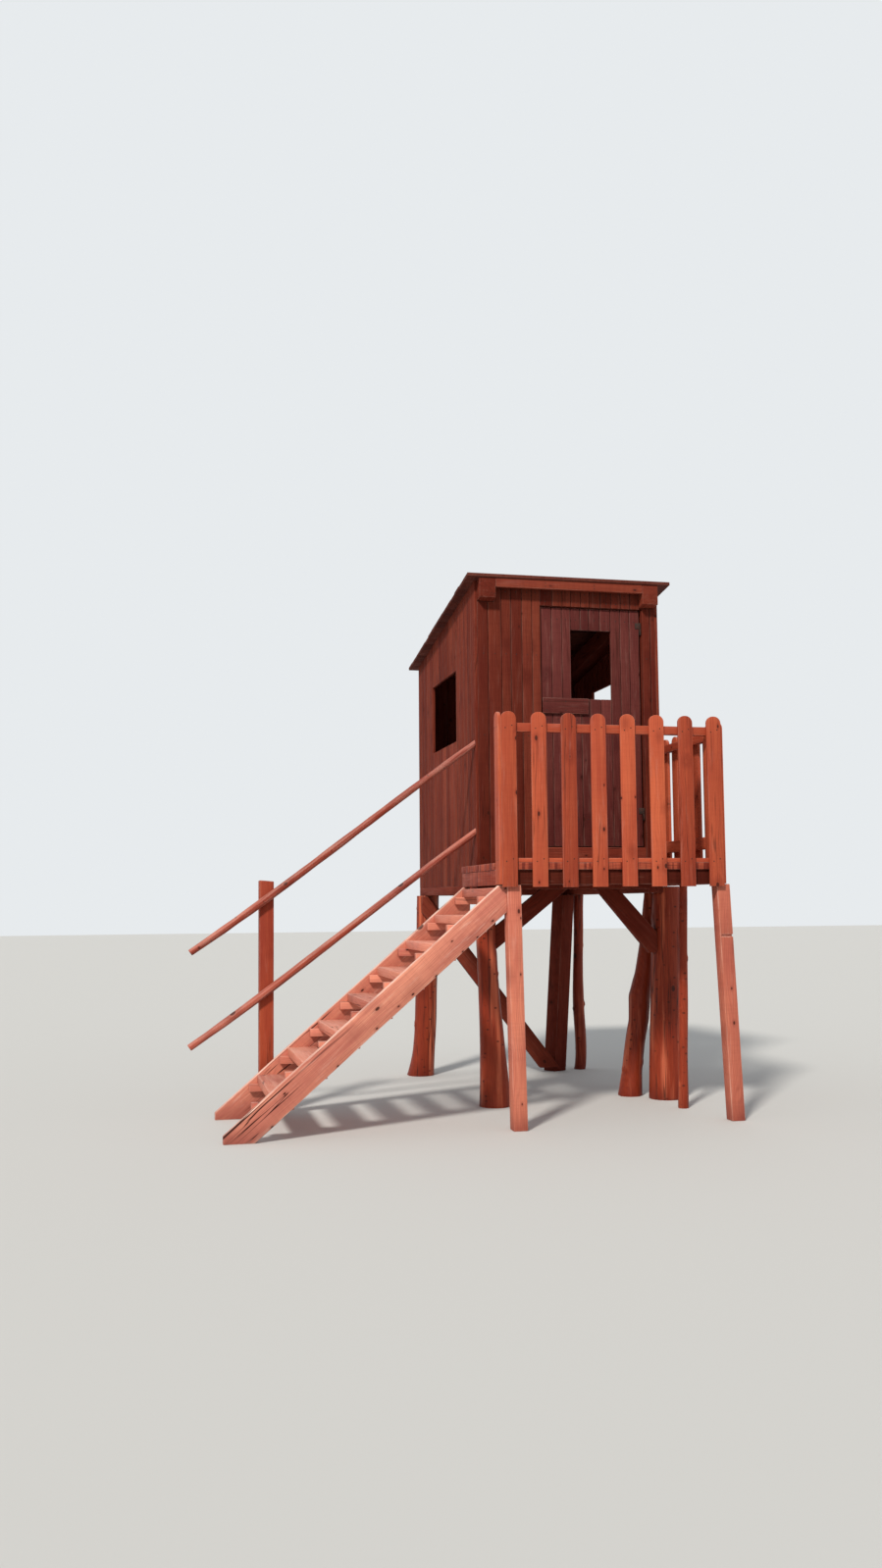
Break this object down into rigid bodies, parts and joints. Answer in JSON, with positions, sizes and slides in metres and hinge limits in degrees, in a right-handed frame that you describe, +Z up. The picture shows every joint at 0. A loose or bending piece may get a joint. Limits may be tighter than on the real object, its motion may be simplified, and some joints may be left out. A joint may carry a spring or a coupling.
{
  "type": "tree house",
  "caption": "Boarded timber cabin on logs and posts, with a picket-railed deck, a hinged boarded door and an open side stair with pole handrails.",
  "frame": {"origin": "on the ground, at the middle of the foot of the deck's front left post", "axes": "+X to the right along the deck front, +Y from the deck front towards the cabin's back wall, +Z up"},
  "size_m": [3.5488, 3.055, 3.759],
  "materials": {
    "stained_board": "rough-sawn boards in red-brown stain",
    "stained_plank": "rough-sawn planks in red-brown stain",
    "stained_picket": "planed pickets in red-brown stain",
    "stained_log": "peeled logs in glossy red-brown stain, with knots",
    "stained_pole": "peeled poles in red-brown stain",
    "roof_plank": "weathered roof boards in dark stain",
    "iron": "dull iron"
  },
  "bodies": {
    "tree_house": {"back_brace": "stained_board", "back_left_log": "stained_log", "back_right_post": "stained_board", "back_wall": "stained_board", "crooked_pole": "stained_log", "cross_plates": "stained_board", "deck_boards": "stained_plank", "deck_front_beam": "stained_plank", "deck_joists": "stained_plank", "far_stringer": "stained_plank", "floor_boards": "stained_board", "floor_joists": "stained_board", "front_fascia": "stained_board", "front_left_log": "stained_log", "front_left_post": "stained_board", "front_railing": "stained_picket", "front_right_log": "stained_log", "front_right_post": "stained_board", "front_wall_head": "stained_board", "front_wall_left": "stained_board", "front_wall_right": "stained_board", "handrail_post": "stained_board", "jamb_hinges": "iron", "leaning_prop": "stained_log", "left_knee_brace": "stained_board", "left_wall": "stained_board", "lower_handrail": "stained_pole", "near_stringer": "stained_plank", "rafters": "stained_board", "railing_posts": "stained_picket", "right_knee_brace": "stained_board", "right_railing": "stained_picket", "right_wall": "stained_board", "roof_boards": "roof_plank", "side_plates": "stained_board", "side_prop": "stained_log", "sill_frame": "stained_board", "threshold": "stained_board", "tread_cleats": "stained_plank", "treads": "stained_plank", "upper_handrail": "stained_pole", "wall_studs": "stained_board"},
    "door_leaf": {"door": "stained_board", "door_ledger": "stained_board", "door_battens": "stained_board", "door_hinges": "iron"}
  },
  "joints": [
    {"name": "door_hinge", "type": "hinge", "parent": "tree_house", "child": "door_leaf", "pos_m": [1.25, 0.957, 0], "axis": [0, 0, 1], "range_deg": [0, 90]}
  ]
}
